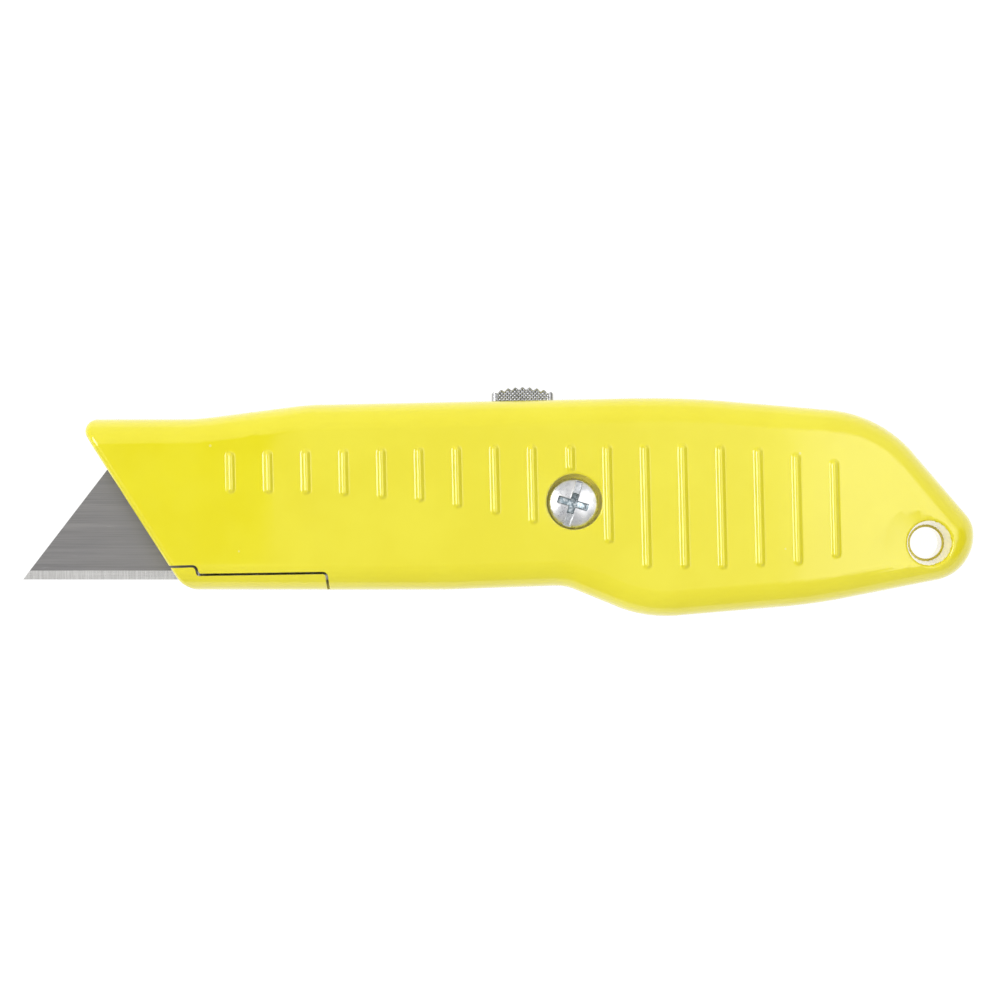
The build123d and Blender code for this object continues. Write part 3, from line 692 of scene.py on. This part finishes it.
def thumb_button():
    """The pressed button: a rounded block with teeth over its top and knurled long sides.

    A loop runs round the block as a rectangle with quarter-circle corners. The wall is that
    loop carried up from the foot to the toothed top, pressed in by two crossing triangle
    waves on the long sides. The top closes the loop by drawing it in to the middle line, and
    the foot does the same at its own height.
    """
    half_l, half_w = BUTTON_L / 2, BUTTON_W / 2
    r = BUTTON_CORNER
    cx, cz = half_l - r, half_w - r
    flat_x = np.linspace(cx, -cx, 121)
    flat_z = np.linspace(cz, -cz, 13)[1:-1]
    turn = np.linspace(0, math.pi / 2, 19)[1:-1]
    side = np.full(flat_x.size, half_w)
    end = np.full(flat_z.size, half_l)
    loop_x = np.concatenate([
        flat_x, -cx - r * np.sin(turn), -end, -cx - r * np.cos(turn),
        -flat_x, cx + r * np.sin(turn), end, cx + r * np.cos(turn),
    ])
    loop_z = np.concatenate([
        side, cz + r * np.cos(turn), flat_z, -cz - r * np.sin(turn),
        -side, -cz - r * np.cos(turn), -flat_z, cz + r * np.sin(turn),
    ])
    top = button_top(loop_x)[0]
    level = np.linspace(0, 1, 40)[:, None]
    y = BUTTON_FOOT + level * (top - BUTTON_FOOT)
    one = (loop_x + y) / KNURL_PITCH
    other = (loop_x - y) / KNURL_PITCH
    waves = np.abs(2 * (one - np.floor(one)) - 1) + np.abs(2 * (other - np.floor(other)) - 1)
    knurl = 1 - waves / 2
    long_side = step(-np.abs(loop_x), -cx - 0.5, -cx + 0.6)
    long_side = long_side * step(level, 0.1, 0.2) * step(-level, -0.97, -0.9)
    press = KNURL_DEPTH * knurl * long_side
    wall = np.stack([
        BUTTON_X + loop_x + 0 * y, y + 0 * loop_x, np.sign(loop_z) * (np.abs(loop_z) - press)
    ], axis=-1)
    inward = np.linspace(0, 1, 25)[:, None]
    inner_x = loop_x * (1 - 0.03 * inward)
    inner_y, inner_tooth = button_top(inner_x)
    round_over = 0.10 * (1 - step(inward, 0.0, 0.08))
    lid_z = wall[-1, :, 2] * (1 - inward)
    lid = np.stack([BUTTON_X + inner_x, inner_y - round_over * inward, lid_z], axis=-1)
    foot_y = np.full_like(inner_x, BUTTON_FOOT)
    foot_z = wall[0, :, 2] * (1 - inward)
    foot = np.stack([BUTTON_X + inner_x, foot_y, foot_z], axis=-1)
    # near 1 on the tops of the teeth and the knurl; the button's material paints shade into the
    # hollows where this is low
    unshaded_tops = [1 - knurl * long_side, np.clip(inner_tooth, 0, 1), np.ones_like(inner_x)]
    piece = make_piece(
        "toothed_button", [(wall, True), (lid, True), (foot, True)],
        KNURLED, "button", {"unshaded_tops": unshaded_tops},
    )
    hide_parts("thumb_button")


def return_coil():
    """The coil under the button's stem: a round wire carried along a helix, closed at both ends.
    """
    turn = np.linspace(0, COIL_TURNS * 2 * math.pi, 170)[:, None]
    around = np.linspace(0, 2 * math.pi, 13)[:-1][None, :]
    rise = (COIL_TOP - COIL_FOOT - 2 * WIRE_R) * turn / turn[-1]
    reach = COIL_R + WIRE_R * np.cos(around)
    wire = np.stack([
        BUTTON_X + reach * np.cos(turn), COIL_FOOT + WIRE_R + rise + WIRE_R * np.sin(around),
        reach * np.sin(turn)
    ], axis=-1)
    start, finish = (np.broadcast_to(wire[row].mean(axis=0), wire[:1].shape) for row in (0, -1))
    tube = np.concatenate([start, wire, finish])
    coil = make_piece("return_coil", [(tube, True)], SPRING, "carriage")
    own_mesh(coil)
    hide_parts("return_spring")


def catch_leaf():
    """The leaf spring: a flat strip with a half-round nose.

    Its side outline runs back along the top, where the nose is a half circle, and forward
    along the flat underside. The outline is carried across the strip and closed at both sides.
    """
    x = np.linspace(LEAF_X[0], LEAF_X[1], 110)
    top = LEAF_Y + LEAF_T + np.sqrt(np.clip(LEAF_NOSE_R**2 - (x - LEAF_NOSE_X) ** 2, 0, None))
    outline_x = np.concatenate([x, x[::-1]])
    outline_y = np.concatenate([top, np.full(x.size, LEAF_Y)])
    middle_y = np.concatenate([top + LEAF_Y, (top + LEAF_Y)[::-1]]) / 2
    half = LEAF_W / 2
    rows = [
        np.stack([outline_x, y, np.full(outline_x.size, z)], axis=-1)
        for y, z in ((middle_y, -half), (outline_y, -half), (outline_y, half), (middle_y, half))
    ]
    leaf = make_piece("catch_leaf", [(np.stack(rows), True)], SPRING, None)
    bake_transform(leaf)
    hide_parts("detent_leaf")


# ---------------------------------------------------------------- floor, light, camera

FLOOR_HALF = 3.0  # metres
FLOOR_LEVEL = -0.1 * MM
FLOOR_GLOW = 0.97

CAMERA_PLACE = (0.000415, 0.00026, 0.7075)  # metres, over the middle of the knife
CAMERA_LENS = 150

# light: strengths, and patches of the room given as tilt from straight up, bearing from +X,
# and the angles at which each one is full and gone
AMBIENT = 0.66
SIDE_SHADE = 0.24  # the room is this much brighter on one side and darker on the other
SIDE_BEARING = 35
FLAG = (15.5, 165, 2.5, 7.5)
FLAG_SHADE = 0.85
WALL = (58, -8, 16, 34)
WALL_SHADE = 0.75
PANEL = (26, 8, 8, 27)
PANEL_LIGHT = 1.4
KEY = (45, 172, 11, 17)
KEY_LIGHT = 6.5


def white_floor():
    """A wide pale glowing sheet under the knife."""
    low, high = -FLOOR_HALF, FLOOR_HALF
    corners = [(x, y, FLOOR_LEVEL) for x, y in ((low, low), (high, low), (high, high), (low, high))]
    mesh = bpy.data.meshes.new("floor")
    mesh.from_pydata(corners, [], [(0, 1, 2, 3)])
    floor = bpy.data.objects.new("floor", mesh)
    bpy.context.scene.collection.objects.link(floor)
    material, nodes, shader, place = new_material(
        "pale_paper", Roughness=0.9, Specular_IOR_Level=0.0,
        Emission_Color=(1, 1, 1, 1), Emission_Strength=FLOOR_GLOW,
    )
    tone = nodes.ramp(nodes.noise(place, 30.0), 0.3, 0.7)
    colour = nodes.blend(tone, (0.13, 0.13, 0.13, 1), (0.15, 0.15, 0.15, 1))
    nodes.put(colour, shader.inputs["Base Color"])
    mesh.materials.append(material)


def towards(tilt, azimuth):
    """A direction given by its angle from straight up and its bearing from +X, degrees."""
    t, a = math.radians(tilt), math.radians(azimuth)
    return (math.sin(t) * math.cos(a), math.sin(t) * math.sin(a), math.cos(t))


def studio():
    """A white room, brighter to the upper right, with a small dark flag overhead.

    A wide panel lights the knife from over its tail, a soft box from the left, and a dark wall
    on the right takes the light off the far side of the ribs.
    """
    world = bpy.data.worlds.new("room")
    bpy.context.scene.world = world
    world.use_nodes = True
    nodes = Nodes(world.node_tree)
    ray = nodes.add("ShaderNodeTexCoord").outputs["Generated"]

    def round_patch(tilt, azimuth, inner, outer):
        likeness = nodes.dot(ray, towards(tilt, azimuth))
        return nodes.ramp(likeness, math.cos(math.radians(outer)), math.cos(math.radians(inner)))

    def darkened(light, patch, share):
        kept = nodes.maths("SUBTRACT", 1.0, nodes.maths("MULTIPLY", round_patch(*patch), share))
        return nodes.maths("MULTIPLY", light, kept)

    slant = nodes.dot(ray, towards(90, SIDE_BEARING))
    room = nodes.maths("ADD", AMBIENT, nodes.maths("MULTIPLY", slant, SIDE_SHADE))
    room = darkened(room, FLAG, FLAG_SHADE)
    room = darkened(room, WALL, WALL_SHADE)
    panel = nodes.maths("MULTIPLY", round_patch(*PANEL), PANEL_LIGHT)
    key = nodes.maths("MULTIPLY", round_patch(*KEY), KEY_LIGHT)
    light = nodes.maths("ADD", room, nodes.maths("ADD", panel, key))
    background = next(n for n in world.node_tree.nodes if n.type == "BACKGROUND")
    background.inputs["Color"].default_value = (1, 1, 1, 1)
    nodes.put(light, background.inputs["Strength"])


def camera():
    """Looks straight down on the knife's side."""
    data = bpy.data.cameras.new("camera")
    data.lens = CAMERA_LENS
    data.sensor_width = 36
    data.clip_end = 20
    holder = bpy.data.objects.new("camera", data)
    bpy.context.scene.collection.objects.link(holder)
    holder.location = CAMERA_PLACE
    bpy.context.scene.camera = holder


# ---------------------------------------------------------------- everything in place

for part in frame["record"]["subparts"]:
    dress(part["node"], SLOT_MATERIALS[part["material_slot"]])
for node in ("back_half", "front_cover"):
    soften(node, 35)

ribs("cover_ribs", "cover", 1)
ribs("back_ribs", "handle", -1)
screw_head()
screw_shank()
thumb_button()
return_coil()
catch_leaf()

white_floor()
studio()
camera()
bpy.context.scene.view_settings.view_transform = "Standard"
